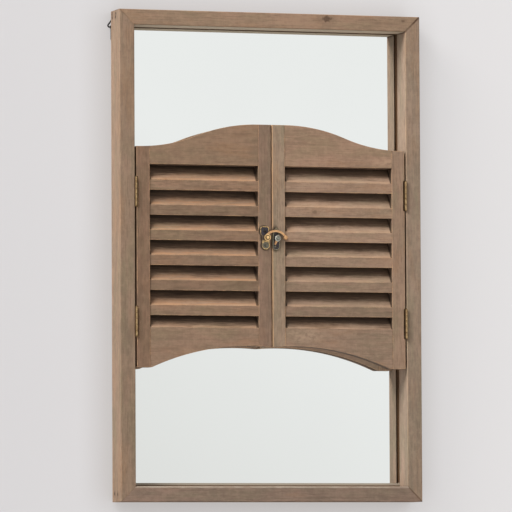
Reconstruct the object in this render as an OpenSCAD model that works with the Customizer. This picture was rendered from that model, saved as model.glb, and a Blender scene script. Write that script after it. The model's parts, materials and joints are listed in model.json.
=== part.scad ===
// Louvred shutter mirror. A deep mitred box frame holds a mirror in its back rebate, and two louvred
// leaves with ogee tops hang in front of the glass on brass butt hinges, closed by a swinging hook.
// Origin: middle of the top rail's back face, which lies against the wall.
// X is to the right, Z is up and the front faces -Y.

/* [Frame] */
// Overall width of the frame
frame_w = 516; // [470:2:600]
// Overall height of the frame
frame_h = 800; // [740:2:960]
// Depth of the frame from front to wall
frame_d = 50; // [46:1:70]
// Width of the frame's front face
face_w = 25; // [23:0.5:32]
// Width of the rebate behind the inner lip
rebate_w = 8; // [6:0.5:10]
// Depth of the rebate, from the back
rebate_d = 8; // [7.5:0.5:16]
// Chamfer on the frame's front edges
frame_ease = 0.8; // [0.4:0.1:1.5]

/* [Mirror] */
// Thickness of the glass
glass_t = 4; // [3:0.5:4.5]
// Thickness of the backing board
board_t = 2.5; // [2:0.5:3]
// Gap between the glass and the rebate's wall
glass_slack = 1; // [0.5:0.1:2]
// Number of holding tabs on each stile
tabs_per_stile = 3; // [2:1:5]

/* [Leaves] */
// Thickness of a leaf
leaf_t = 22; // [20:0.5:26]
// Gap between a leaf and the frame at the hinges
hinge_gap = 3; // [2.6:0.1:4]
// Gap between the two leaves' front edges where they meet
meeting_gap = 1.4; // [1.2:0.1:4]
// Bevel of the meeting edges, measured at the back
meeting_bevel = 1.2; // [1.2:0.1:2.5]
// Height of the hinge stile
shoulder_h = 359; // [330:1:420]
// Height of the leaf's foot above the frame's lower edge
leaf_base = 218; // [150:1:260]
// Width of both stiles of a leaf
stile_w = 22; // [19:0.5:28]
// Height of the top rail at the hinge stile
top_rail_h = 28.5; // [27:0.5:40]
// Height of the bottom rail's front face
bottom_rail_h = 65; // [60:1:80]
// Rise of the ogee from the shoulder to the crest
crest_rise = 39; // [25:1:50]
// Distance from the hinge edge to the foot of the ogee
ogee_start = 4; // [2:0.5:22]
// Distance from the ogee's crest to the meeting edge
crest_inset = 23.3; // [18:0.1:40]
// Share of the ogee's run and rise that is hollow
ogee_split = 0.49; // [0.3:0.01:0.6]
// Rise of the arch under the bottom rail
arch_rise = 36; // [20:1:38]
// Run of the arch from its corner to its crown
arch_run = 168; // [140:1:176]
// Distance from the hinge edge to the arch's corner
arch_start = 25; // [22:0.5:30]

/* [Louvres] */
// Number of slats in a leaf
slats = 6; // [4:1:6]
// Height of a slat's front face
slat_face = 17; // [14:0.5:19]
// Angle of the slats to the horizontal
slat_angle = 52.4; // [45:0.1:54]
// Setback of the slats from the leaf's faces
slat_inset = 1; // [0.5:0.1:2]
// Blunting of the slats' thin edges
slat_ease = 0.5; // [0.2:0.1:0.8]
// Depth of the slats' housings in the stiles
slat_house = 5; // [3:0.5:6]
// Step from the last slat's top edge down to the bottom rail's
last_step = 36; // [32:1:42]

/* [Rail tenons] */
// Length of the stub tenons
tenon_l = 8; // [5:0.5:10]
// Thickness of the stub tenons
tenon_t = 7; // [5:0.5:9]
// Height of the stub tenons
tenon_h = 15; // [10:0.5:16]
// Distance from a rail's louvre edge to its tenon
tenon_shoulder = 6; // [5:0.5:10]

/* [Hinges] */
// Height of a hinge
hinge_h = 48; // [40:1:60]
// Distance from a leaf's shoulder or foot to the hinge's middle
hinge_inset = 74; // [50:1:100]
// Radius of the hinge barrel
barrel_r = 2.2; // [2:0.05:2.3]
// Radius of the hinge pin
hinge_pin_r = 1.1; // [0.9:0.05:1.2]
// Thickness of a hinge flap
flap_t = 1.2; // [1:0.05:1.25]
// Width of a hinge flap behind the frame's front face
flap_w = 16; // [13:0.5:18]
// Distance of the barrel's axis in front of the frame
hinge_proud = 1.8; // [1.8:0.1:2.6]
// Number of knuckles
knuckles = 5; // [3:2:7]
// Width of the notch beside the barrel in a leaf's edge
notch_w = 2.5; // [1:0.1:3.5]
// Depth of the notch beside the barrel
notch_d = 3.5; // [2:0.1:5]
// Screws in each hinge flap
flap_screws = 3; // [2:1:3]
// Length of the hinge screws
flap_screw_l = 14; // [10:0.5:15]

/* [Latch] */
// Height of the latch above a leaf's foot
latch_h = 213; // [150:1:260]
// Distance of the hook's pivot from the leaf's meeting edge
pivot_inset = 8.6; // [8.2:0.1:12]
// Thickness of the latch plates
plate_t = 1.5; // [1:0.1:2]
// Height of the boss that carries the hook
boss_h = 1.9; // [1.5:0.1:3]
// Radius of the hook's pivot rivet
rivet_r = 1.6; // [1.2:0.1:2]
// Thickness of the hook
hook_t = 3.2; // [2.4:0.1:4]
// Distance from the pivot to the ball at the hook's end
hook_reach = 31.2; // [30:0.2:36]
// Height of the hook's arch above its pivot
hook_arch = 12.4; // [11.5:0.1:14]
// Width of the hook's horn
horn_w = 3.4; // [2.8:0.1:4]
// Radius of the eye of the hook
eye_out_r = 5.4; // [5:0.1:6]
// Radius of the hook's ball
ball_r = 3.9; // [2.6:0.1:4.2]
// Distance of the keeper stud from the other leaf's meeting edge
stud_inset = 8.6; // [8:0.1:10]
// Radius of the keeper stud's head
stud_head_r = 5.2; // [4:0.1:5.4]
// Width of the keeper plate
keeper_w = 12.2; // [11:0.1:13]
// Height of the keeper plate
keeper_h = 37.4; // [34:0.2:42]
// Width of the raised rim round the latch plates
rim_w = 1.2; // [0.8:0.1:1.6]
// Depth of the sunk field inside the rim
field_d = 0.6; // [0.3:0.1:0.8]

/* [Hangers] */
// Distance of a hanger from the frame's outer side
hanger_inset = 5.5; // [5.5:0.5:9]
// Distance of the ring's axis below the frame's top
hanger_drop = 25; // [25:1:60]
// Width of the hanger strap
strap_w = 12; // [10:0.5:12]
// Thickness of the hanger strap
strap_t = 1.2; // [1:0.1:1.5]
// Length of the strap below the ring
strap_l = 25; // [24:0.5:32]
// Radius of the ring's wire
ring_wire_r = 1.2; // [1:0.1:1.4]
// Overall width of the hanger ring
ring_w = 22.2; // [22:0.1:26]
// Overall height of the hanger ring above its axis
ring_h = 16; // [15:0.5:22]

/* [Hidden] */
SIDES = ["left", "right"];
LEVELS = ["upper", "lower"];
$fn = 48;

fit = 0.05;          // clearance round screws, nails and pins, on the radius
gap = 0.3;           // running gap between faces that move past each other
seat = 0.1;          // clearance of wood joints in their housings
bite = 0.01;         // overlap of the shapes that make up one outline
far = 2000;          // longer than anything here

// levels of the frame
frame_top = face_w/2;
frame_base = frame_top - frame_h;
frame_mid = (frame_top + frame_base)/2;
front_y = -frame_d;
open_w = frame_w - 2*face_w;
open_h = frame_h - 2*face_w;
glass_y = -rebate_d;
board_y = glass_y + glass_t;
tab_y = board_y + board_t;

// nails through the stiles: distance from the frame's end, distance behind its front
top_nails = [[5, 23.5], [5, 43], [11.5, 23.5], [11.5, 43]];
bottom_nails = [[12.5, 20], [13.5, 37.5]];
nail_r = 0.8;
nail_l = 32;
nail_head_r = 1.3;
nail_head_t = 0.6;

// holding tabs of the backing board
tab_w = 12;
tab_t = 0.6;
tab_bite = 6;
tab_reach = 16;
tabs_per_rail = 2;

// levels of a leaf, from its hinge edge and its foot
leaf_w = (open_w - 2*hinge_gap - meeting_gap)/2;
leaf_z = frame_base + leaf_base;
crest_x = leaf_w - crest_inset;
crest_run = crest_x - ogee_start;
crest_h = shoulder_h + crest_rise;
arch_x = arch_start + arch_run;
louvre_top = shoulder_h - top_rail_h;
louvre_w = leaf_w - 2*stile_w;

// slats
slat_d = leaf_t - 2*slat_inset;
slope = tan(slat_angle);
slat_rise = slat_d*slope;
slat_blunt = slat_ease*slope;
first_slat = louvre_top - gap - slat_rise + slat_blunt;
slat_pitch = (first_slat - bottom_rail_h - last_step)/(slats - 1);
function slat_top(k) = first_slat - k*slat_pitch;

// hinges
half_gap = hinge_gap/2;
knuckle_ease = 0.45;
knuckle_pitch = hinge_h/knuckles;
frame_knuckles = [for (k = [0:2:knuckles - 1]) k];
leaf_knuckles = [for (k = [1:2:knuckles - 2]) k];
hinge_levels = [shoulder_h - hinge_inset, hinge_inset];
flap_screw_r = 1.2;
flap_head_r = 2.4;
pin_head_r = 1.8;
pin_head_t = 0.8;

// latch
hook_y = -(plate_t + boss_h + gap);
rivet_end = hook_y - hook_t - gap;
rivet_head_t = 1.2;
rivet_head_r = 2.6;
boss_r = 4.2;
eye_groove = [2.9, 4.1];
eye_groove_d = 1;
small_screw_r = 1.2;
small_screw_l = 11;
small_head_r = 2.9;
small_head_t = 1.3;
upper_lobe = [-3.4, 10.8];
upper_half = 7.5;
upper_corner = 4;
lower_lobe = [-1.4, -12.6];
lower_r = 6.7;
stud_drop = 1;
keeper_screw_z = -13.6;
stud_r = 1.9;
stud_stand = 2.6;
stud_head_t = 2.6;
tongue_t = 1.6;
tongue_eye_r = 3.4;
tongue_tip = [4.3, -9.2];
tongue_tip_r = 1.5;

// hangers
eye_r = ring_wire_r + fit + strap_t;
ring_bend = 2.4;
ring_side_x = ring_w/2 - ring_wire_r - ring_bend;
ring_apex_z = ring_h - ring_wire_r - ring_bend;
hanger_x = frame_w/2 - hanger_inset;
hanger_z = frame_top - hanger_drop;
hanger_screw_drop = [9, 18.5];
hanger_screw_r = 1.5;
hanger_screw_l = 16;
hanger_head_r = 3;
hanger_head_t = 1.6;

wood = "#8b7866";
brass = "#b08d4f";
old_brass = "#7d6336";
black_steel = "#2b2a2c";
steel = "#b9bbbd";

// ---------- helpers ----------

// a solid of the given depth along +Y from an outline drawn in X and Z
module slab(depth) {
    translate([0, depth, 0]) rotate([90, 0, 0]) linear_extrude(depth) children();
}

// a solid of the given length along +X from an outline drawn in Y and Z
module bar(length) {
    rotate([90, 0, 90]) linear_extrude(length) children();
}

module mirrored(side) {
    mirror([side == "right" ? 1 : 0, 0, 0]) children();
}

// puts a left leaf's own shape, drawn from its hinge edge and foot, into its place
module in_leaf(side) {
    mirrored(side) translate([hinge_gap - open_w/2, front_y, leaf_z]) children();
}

// a round rod along +X, from x = 0
module rod_x(r, length) {
    rotate([0, 90, 0]) cylinder(r = r, h = length);
}

// a round rod along +Y, from y = 0
module rod_y(r, length) {
    rotate([-90, 0, 0]) cylinder(r = r, h = length);
}

// ---------- frame ----------

// one mitred length of the frame: x from its outer side, z along it, back at y = 0
module frame_length(length) {
    e = frame_ease;
    intersection() {
        linear_extrude(length) polygon([
            [e, -frame_d], [face_w - e, -frame_d], [face_w, e - frame_d], [face_w, -rebate_d],
            [face_w - rebate_w, -rebate_d], [face_w - rebate_w, 0], [0, 0], [0, e - frame_d]]);
        translate([0, -frame_d, 0]) slab(frame_d) polygon([
            [0, 0], [face_w, face_w], [face_w, length - face_w], [0, length]]);
    }
}

module nail(slack = 0) {
    rod_x(nail_r + slack, nail_l + slack);
    rod_x(nail_head_r + slack, nail_head_t);
}

module left_nails(slack = 0) {
    for (p = top_nails)
        translate([-frame_w/2, front_y + p[1], frame_top - p[0]]) nail(slack);
    for (p = bottom_nails)
        translate([-frame_w/2, front_y + p[1], frame_base + p[0]]) nail(slack);
}

// a thin steel tab driven into the rebate's wall: it reaches along +X from x = -tab_bite
module tab(slack = 0) {
    translate([-tab_bite - slack, tab_y, -tab_w/2 - slack])
        cube([tab_reach + slack, tab_t + slack, tab_w + 2*slack]);
}

module left_tabs(slack = 0) {
    for (k = [1:tabs_per_stile])
        translate([rebate_w - open_w/2 - 2*rebate_w, 0, frame_base + k*frame_h/(tabs_per_stile + 1)])
            tab(slack);
}

module top_tabs(slack = 0) {
    for (k = [1:tabs_per_rail])
        translate([-frame_w/2 + k*frame_w/(tabs_per_rail + 1), 0, frame_top - face_w + rebate_w])
            rotate([0, 90, 0]) tab(slack);
}

module upside_down() {
    translate([0, 0, 2*frame_mid]) mirror([0, 0, 1]) children();
}

module frame_stile(side) {
    color(wood) mirrored(side) difference() {
        translate([-frame_w/2, 0, frame_base]) frame_length(frame_h);
        left_nails(fit);
        left_tabs(fit);
        in_hinges("left") flap_screw_set(-1, fit);
        translate([-hanger_x, 0, hanger_z]) strap_screws(fit);
    }
}

module top_rail_blank() {
    translate([-frame_w/2, 0, frame_top]) rotate([0, 90, 0]) frame_length(frame_w);
}

module frame_rail_top() {
    color(wood) difference() {
        top_rail_blank();
        for (side = SIDES) mirrored(side) left_nails(fit);
        top_tabs(fit);
    }
}

module frame_rail_bottom() {
    color(wood) difference() {
        upside_down() top_rail_blank();
        for (side = SIDES) mirrored(side) left_nails(fit);
        upside_down() top_tabs(fit);
    }
}

module corner_nails() {
    color(black_steel) for (side = SIDES) mirrored(side) left_nails();
}

// ---------- mirror and back ----------

module pane(thick) {
    w = open_w + 2*(rebate_w - glass_slack);
    h = open_h + 2*(rebate_w - glass_slack);
    translate([-w/2, 0, frame_mid - h/2]) cube([w, thick, h]);
}

module mirror_glass() {
    color("#e6ebea") translate([0, glass_y, 0]) pane(glass_t);
}

module backing_board() {
    color("#9c7d5b") translate([0, board_y, 0]) pane(board_t);
}

module backing_tabs() {
    color(steel) {
        for (side = SIDES) mirrored(side) left_tabs();
        top_tabs();
        upside_down() top_tabs();
    }
}

// ---------- hangers: origin on the ring's axis, on the frame's back ----------

module strap_screws(slack = 0) {
    for (drop = hanger_screw_drop) translate([0, 0, -drop]) {
        translate([0, -hanger_screw_l, 0]) rod_y(hanger_screw_r + slack, hanger_screw_l + strap_t);
        if (slack == 0) translate([0, strap_t, 0]) intersection() {
            rod_y(hanger_head_r, hanger_head_t);
            translate([0, hanger_head_t - 4, 0]) sphere(4);
        }
    }
}

module hanger_strap(side) {
    color(black_steel) mirrored(side) translate([-hanger_x, 0, hanger_z]) difference() {
        union() {
            slab(strap_t) union() {
                translate([-strap_w/2, strap_w/2 - strap_l]) square([strap_w, strap_l - strap_w/2]);
                translate([0, strap_w/2 - strap_l]) circle(strap_w/2);
            }
            translate([-strap_w/2, eye_r, 0]) rod_x(eye_r, strap_w);
        }
        translate([-strap_w, eye_r, 0]) rod_x(ring_wire_r + fit, 2*strap_w);
        strap_screws(fit);
    }
}

// one bend of the ring's wire about a centre in X and Z, turning from an angle through a sweep
module ring_bend_at(centre, start, sweep) {
    translate([centre[0], 0, centre[1]]) rotate([90, 0, 0]) rotate([0, 0, start])
        rotate_extrude(angle = sweep) translate([ring_bend, 0]) circle(ring_wire_r);
}

// a straight length of the ring's wire, leaving a bend at an angle
module ring_side(centre, angle, length) {
    translate([centre[0], 0, centre[1]]) rotate([0, -angle, 0]) translate([ring_bend, 0, 0])
        cylinder(r = ring_wire_r, h = length);
}

// a closed triangle of wire with its base on the X axis
module hanger_ring(side) {
    run = ring_side_x;
    rise = ring_apex_z - ring_bend;
    lean = atan2(run, rise);
    corner = [run, ring_bend];
    apex = [0, ring_apex_z];
    color(black_steel) translate([side == "left" ? -hanger_x : hanger_x, eye_r, hanger_z]) {
        ring_side([-run, ring_bend], -90, 2*run);
        ring_bend_at(corner, -90, 90 + lean);
        ring_side(corner, lean, norm([run, rise]));
        ring_bend_at(apex, lean, 180 - 2*lean);
        rotate([0, 0, 180]) ring_side(corner, lean, norm([run, rise]));
        rotate([0, 0, 180]) ring_bend_at(corner, -90, 90 + lean);
    }
}

module hanger_screws() {
    color(black_steel) for (side = SIDES) mirrored(side) translate([-hanger_x, 0, hanger_z])
        strap_screws();
}

// ---------- hinges: origin on the barrel's axis, frame at -X, leaf at +X ----------

// both hinges of one side
module in_hinges(side) {
    for (level = LEVELS) in_hinge(side, level) children();
}

module in_hinge(side, level) {
    z = hinge_levels[level == "upper" ? 0 : 1];
    in_leaf(side) translate([-half_gap, -hinge_proud, z]) children();
}

// one knuckle of the barrel with both ends eased
module knuckle(length) {
    e = knuckle_ease;
    cylinder(r1 = barrel_r - e, r2 = barrel_r, h = e);
    translate([0, 0, e]) cylinder(r = barrel_r, h = length - 2*e);
    translate([0, 0, length - e]) cylinder(r1 = barrel_r, r2 = barrel_r - e, h = e);
}

// one flap on the -X side with its own knuckles
module flap(own) {
    others = [for (k = [0:knuckles - 1]) if (len(search(k, own)) == 0) k];
    difference() {
        union() {
            difference() {
                translate([-half_gap, 0, -hinge_h/2]) cube([flap_t, hinge_proud + flap_w, hinge_h]);
                for (k = others) translate([0, 0, k*knuckle_pitch - hinge_h/2 - gap/2])
                    cylinder(r = barrel_r + gap, h = knuckle_pitch + gap);
            }
            for (k = own) translate([0, 0, k*knuckle_pitch - hinge_h/2 + gap/2])
                knuckle(knuckle_pitch - gap);
        }
        translate([0, 0, -hinge_h]) cylinder(r = hinge_pin_r + fit, h = 2*hinge_h);
        flap_screw_set(-1, fit);
    }
}

// countersunk screws of one flap, driven towards dir along X
module flap_screw_set(dir, slack = 0) {
    step = hinge_h/flap_screws;
    for (k = [0:flap_screws - 1]) {
        y = hinge_proud + flap_w*(k % 2 == 0 ? 0.4 : 0.65);
        mirror([dir > 0 ? 1 : 0, 0, 0])
            translate([flap_t - half_gap, y, (k + 0.5)*step - hinge_h/2]) rotate([0, -90, 0]) {
                cylinder(r = flap_screw_r + slack, h = flap_screw_l);
                cylinder(r1 = flap_head_r + slack, r2 = flap_screw_r + slack, h = flap_t);
            }
    }
}

module frame_flap(side, level) {
    color(brass) in_hinge(side, level) flap(frame_knuckles);
}

module leaf_flap(side, level) {
    color(brass) in_hinge(side, level) mirror([1, 0, 0]) flap(leaf_knuckles);
}

module hinge_pin(side, level) {
    color(brass) in_hinge(side, level) {
        translate([0, 0, -hinge_h/2]) cylinder(r = hinge_pin_r, h = hinge_h);
        for (end = [0, 1]) mirror([0, 0, end]) translate([0, 0, hinge_h/2])
            cylinder(r1 = pin_head_r, r2 = pin_head_r*0.7, h = pin_head_t);
    }
}

module frame_flap_screws() {
    color(brass) for (side = SIDES) in_hinges(side) flap_screw_set(-1);
}

module leaf_flap_screws(side) {
    color(brass) in_hinges(side) flap_screw_set(1);
}

// ---------- leaves: x from the hinge edge, y from the front face, z from the foot ----------

// a circle that meets a level line at its crown and passes run along and rise down from it
function arc_r(run, rise) = (run*run + rise*rise)/(2*rise);

module leaf_outline() {
    hollow_run = ogee_split*crest_run;
    hollow_rise = ogee_split*crest_rise;
    round_run = crest_run - hollow_run;
    round_rise = crest_rise - hollow_rise;
    turn_x = ogee_start + hollow_run;
    hollow_r = arc_r(hollow_run, hollow_rise);
    round_r = arc_r(round_run, round_rise);
    arch_r = arc_r(arch_run, arch_rise);
    difference() {
        union() {
            square([leaf_w, shoulder_h]);
            difference() {
                translate([ogee_start, shoulder_h - bite])
                    square([hollow_run + bite, hollow_rise + bite]);
                translate([ogee_start, shoulder_h + hollow_r]) circle(hollow_r, $fn = 360);
            }
            intersection() {
                translate([turn_x, shoulder_h - bite]) square([round_run + bite, crest_rise + 1]);
                translate([crest_x, crest_h - round_r]) circle(round_r, $fn = 360);
            }
            translate([crest_x, shoulder_h - bite])
                square([leaf_w - crest_x, crest_rise + bite]);
        }
        intersection() {
            translate([arch_start, -bite]) square([leaf_w, arch_rise + 1]);
            translate([arch_x, arch_rise - arch_r]) circle(arch_r, $fn = 360);
        }
    }
}

// the part of the leaf's board between two distances from the hinge edge and two heights
module leaf_board(x0, x1, z0, z1) {
    slab(leaf_t) intersection() {
        leaf_outline();
        translate([x0, z0]) square([x1 - x0, z1 - z0]);
    }
}

// a slat's section, in y and z, its front top edge at z = 0; slack widens it evenly on every side
module slat_section(slack = 0) {
    y0 = slat_inset;
    y1 = leaf_t - slat_inset;
    b = slat_blunt;
    e = slat_ease;
    v = slack/cos(slat_angle);
    h = (v - slack)/slope;
    polygon([
        [y0 - slack, v - slack*slope], [y1 - e - h, slat_rise - b + slack],
        [y1 + slack, slat_rise - b + slack], [y1 + slack, slat_rise - slat_face + slack*slope - v],
        [y0 + e + h, b - slat_face - slack], [y0 - slack, b - slat_face - slack]]);
}

module slat(k, slack = 0) {
    reach = slat_house + slack;
    translate([stile_w - reach, 0, slat_top(k)]) bar(louvre_w + 2*reach) slat_section(slack);
}

// both rails' stub tenons, from stile to stile
module tenon(z, slack = 0) {
    reach = tenon_l + slack;
    translate([stile_w - reach, (leaf_t - tenon_t)/2 - slack, z - slack])
        cube([louvre_w + 2*reach, tenon_t + 2*slack, tenon_h + 2*slack]);
}

module top_tenon(slack = 0) {
    tenon(louvre_top + tenon_shoulder, slack);
}

module bottom_tenon(slack = 0) {
    tenon(bottom_rail_h - tenon_shoulder - tenon_h, slack);
}

module joint_cuts() {
    for (k = [0:slats - 1]) slat(k, seat);
    top_tenon(seat);
    bottom_tenon(seat);
}

module barrel_notches() {
    for (z = hinge_levels) translate([-1, -1, z - hinge_h/2 - 1])
        cube([notch_w + 1, notch_d + 1, hinge_h + 2]);
}

// what the bevel takes off the meeting edge
module bevel_cut() {
    slant = meeting_bevel/leaf_t;
    translate([leaf_w, 0, -1]) linear_extrude(crest_h + 2) polygon([
        [slant, -1], [meeting_bevel + 1, -1], [meeting_bevel + 1, leaf_t + 1],
        [-meeting_bevel - slant, leaf_t + 1]]);
}

module hinge_stile(side) {
    color(wood) in_leaf(side) difference() {
        leaf_board(0, stile_w, -1, far);
        joint_cuts();
        barrel_notches();
        for (z = hinge_levels) translate([-half_gap, -hinge_proud, z]) flap_screw_set(1, fit);
    }
}

module meeting_stile(side) {
    color(wood) in_leaf(side) difference() {
        leaf_board(leaf_w - stile_w, leaf_w, -1, far);
        joint_cuts();
        bevel_cut();
        if (side == "left") in_latch() plate_screws(fit);
        if (side == "right") in_keeper() {
            stud(fit);
            keeper_screw_shape(fit);
        }
    }
}

module top_rail(side) {
    color(wood) in_leaf(side) {
        leaf_board(stile_w, leaf_w - stile_w, louvre_top, far);
        top_tenon();
    }
}

module bottom_rail(side) {
    color(wood) in_leaf(side) {
        intersection() {
            leaf_board(stile_w, leaf_w - stile_w, -1, louvre_top);
            bar(leaf_w) polygon([
                [0, 0], [0, bottom_rail_h], [leaf_t, bottom_rail_h + leaf_t*slope], [leaf_t, 0]]);
        }
        bottom_tenon();
    }
}

module leaf_slat(side, k) {
    color(wood) in_leaf(side) slat(k - 1);
}

// ---------- latch: origin on the leaf's front face ----------

// the hook's pivot, on the left leaf
module in_latch() {
    translate([leaf_w - pivot_inset, 0, latch_h]) children();
}

// the keeper's stud, on the right leaf, in that leaf's mirrored frame
module in_keeper() {
    translate([leaf_w - stud_inset, 0, latch_h - stud_drop]) children();
}

module plate_screws(slack = 0) {
    for (at = [upper_lobe, lower_lobe]) translate([at[0], 0, at[1]]) small_screw(slack);
}

// a raised-head wood screw, its head on the sunk field of a plate
module small_screw(slack = 0) {
    translate([0, field_d - plate_t, 0]) {
        rod_y(small_screw_r + slack, small_screw_l);
        if (slack == 0) translate([0, -small_head_t, 0]) intersection() {
            rod_y(small_head_r, small_head_t);
            translate([0, 4, 0]) sphere(4);
        }
    }
}

// the latch plate's two lobes, drawn in by a margin
module lobes(margin = 0) {
    r = upper_corner - margin;
    reach = upper_half - upper_corner;
    translate(upper_lobe) {
        for (x = [-reach, reach], z = [-reach, reach]) translate([x, z]) circle(r);
        square([2*reach, 2*(reach + r)], center = true);
        square([2*(reach + r), 2*reach], center = true);
    }
    translate(lower_lobe) circle(lower_r - margin);
}

module latch_plate() {
    color(old_brass) in_leaf("left") in_latch() difference() {
        union() {
            translate([0, -plate_t, 0]) slab(plate_t) union() {
                lobes();
                polygon([[-8.6, 6], [-7.6, -2], [-7.4, -10], [4.6, -10], [4.7, 0], [3.7, 6]]);
            }
            translate([0, -plate_t - boss_h, 0]) rod_y(boss_r, boss_h);
        }
        translate([0, field_d - plate_t - 5, 0]) slab(5) difference() {
            lobes(rim_w);
            circle(boss_r + rim_w);
        }
        translate([0, rivet_end, 0]) rod_y(rivet_r + fit, far);
        plate_screws(fit);
    }
}

module latch_plate_screws() {
    color(old_brass) in_leaf("left") in_latch() plate_screws();
}

module pivot_rivet() {
    color(brass) in_leaf("left") in_latch() {
        translate([0, rivet_end, 0]) rod_y(rivet_r, -rivet_end);
        translate([0, rivet_end - rivet_head_t, 0]) rod_y(rivet_head_r, rivet_head_t);
    }
}

// the hook: an eye round the pivot and a horn that springs from its far side and ends in a ball
module latch_hook() {
    half = horn_w/2;
    start = half - eye_out_r;
    mid = (start + hook_reach)/2;
    horn_r = arc_r(hook_reach - mid, hook_arch - half);
    centre = [mid, hook_arch - half - horn_r];
    color(brass) in_leaf("left") in_latch() difference() {
        union() {
            translate([0, hook_y - hook_t, 0]) slab(hook_t) union() {
                intersection() {
                    difference() {
                        translate(centre) circle(horn_r + half, $fn = 96);
                        translate(centre) circle(horn_r - half, $fn = 96);
                    }
                    translate([0.2 - eye_out_r, 0]) square([hook_reach + eye_out_r, hook_arch + 1]);
                }
                circle(eye_out_r);
            }
            translate([hook_reach, hook_y - hook_t/2, 0]) sphere(ball_r);
        }
        translate([0, hook_y - 2*hook_t, 0]) rod_y(rivet_r + fit, 4*hook_t);
        translate([0, hook_y - hook_t - 1, 0]) difference() {
            rod_y(eye_groove[1], eye_groove_d + 1);
            rod_y(eye_groove[0], eye_groove_d + 1);
        }
    }
}

// the keeper's plate: a round foot and a pointed head, drawn in by a margin
module keeper_outline(margin = 0) {
    w = keeper_w/2 - margin;
    rise = 19 - 2*margin;
    foot = rise + 2*margin + w + margin - keeper_h;
    r = arc_r(rise, w);
    top = keeper_h/2 - 0.4 - rise - 2*margin;
    translate([0, top]) {
        intersection() {
            translate([w - r, 0]) circle(r, $fn = 180);
            translate([r - w, 0]) circle(r, $fn = 180);
            translate([-w - 1, 0]) square([2*w + 2, rise + 1]);
        }
        translate([-w, foot]) square([2*w, bite - foot]);
        translate([0, foot]) circle(w);
    }
}

// puts the keeper plate's middle line in place beside the stud
module at_keeper_plate() {
    translate([stud_inset - keeper_w/2 - 0.2, 0, 0]) children();
}

module keeper_screw_shape(slack = 0) {
    at_keeper_plate() translate([0, 0, keeper_screw_z]) small_screw(slack);
}

module stud(slack = 0) {
    translate([0, -plate_t - stud_stand, 0]) rod_y(stud_r + slack, plate_t + stud_stand + 12);
    if (slack == 0) translate([0, -plate_t - stud_stand - stud_head_t, 0]) intersection() {
        rod_y(stud_head_r, stud_head_t);
        translate([0, stud_head_r + 1.4, 0]) sphere(stud_head_r + 1.4);
    }
}

module keeper_plate() {
    color(old_brass) in_leaf("right") in_keeper() difference() {
        at_keeper_plate() translate([0, -plate_t, 0]) slab(plate_t) keeper_outline();
        at_keeper_plate() translate([0, field_d - plate_t - 5, 0]) slab(5) keeper_outline(rim_w);
        stud(fit);
        keeper_screw_shape(fit);
    }
}

// a drop-shaped tongue round the stud, lying on the keeper plate's rim
module keeper_tongue() {
    side = [-tongue_tip[1], tongue_tip[0]]/norm(tongue_tip);
    tip_half = tongue_tip_r - 0.1;
    color(brass) in_leaf("right") in_keeper() difference() {
        translate([0, -plate_t - tongue_t, 0]) slab(tongue_t) union() {
            circle(tongue_eye_r);
            polygon([2.4*side, -2.4*side, tongue_tip - tip_half*side, tongue_tip + tip_half*side]);
            translate(tongue_tip) circle(tongue_tip_r);
        }
        stud(fit);
    }
}

module keeper_stud() {
    color(steel) in_leaf("right") in_keeper() stud();
}

module keeper_screw() {
    color(old_brass) in_leaf("right") in_keeper() keeper_screw_shape();
}

// ---------- the pieces ----------

frame_stile("left");  // frame_stile_left
frame_stile("right");  // frame_stile_right
frame_rail_top();
frame_rail_bottom();
corner_nails();
mirror_glass();
backing_board();
backing_tabs();
for (side = SIDES) {
    hanger_strap(side);
    hanger_ring(side);
    for (level = LEVELS) {
        frame_flap(side, level);
        leaf_flap(side, level);
        hinge_pin(side, level);
    }
    hinge_stile(side);
    meeting_stile(side);
    top_rail(side);
    bottom_rail(side);
    leaf_flap_screws(side);
    for (k = [1:slats]) leaf_slat(side, k);
}
hanger_screws();
frame_flap_screws();
latch_plate();
latch_plate_screws();
pivot_rivet();
latch_hook();
keeper_plate();
keeper_tongue();
keeper_stud();
keeper_screw();
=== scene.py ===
import json
import math

import bmesh
import bpy
from mathutils import Matrix, Vector


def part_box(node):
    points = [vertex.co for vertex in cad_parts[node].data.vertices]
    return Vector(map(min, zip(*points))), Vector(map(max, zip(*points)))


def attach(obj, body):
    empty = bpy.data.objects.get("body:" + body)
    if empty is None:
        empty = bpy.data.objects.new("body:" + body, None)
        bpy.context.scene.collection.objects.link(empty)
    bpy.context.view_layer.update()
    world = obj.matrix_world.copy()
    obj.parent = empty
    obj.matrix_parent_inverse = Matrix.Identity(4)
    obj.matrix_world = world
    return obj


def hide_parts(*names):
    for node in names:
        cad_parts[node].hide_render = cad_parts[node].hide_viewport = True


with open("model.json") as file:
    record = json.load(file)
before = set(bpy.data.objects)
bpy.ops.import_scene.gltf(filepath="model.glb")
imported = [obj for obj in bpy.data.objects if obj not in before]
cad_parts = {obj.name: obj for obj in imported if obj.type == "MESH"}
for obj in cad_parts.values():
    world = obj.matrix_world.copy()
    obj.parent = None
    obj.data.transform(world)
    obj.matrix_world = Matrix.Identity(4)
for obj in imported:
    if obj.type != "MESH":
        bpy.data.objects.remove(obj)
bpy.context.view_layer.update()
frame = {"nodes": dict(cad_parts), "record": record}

nodes = frame["nodes"]

# ---------- places on the object, in metres ----------

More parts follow.
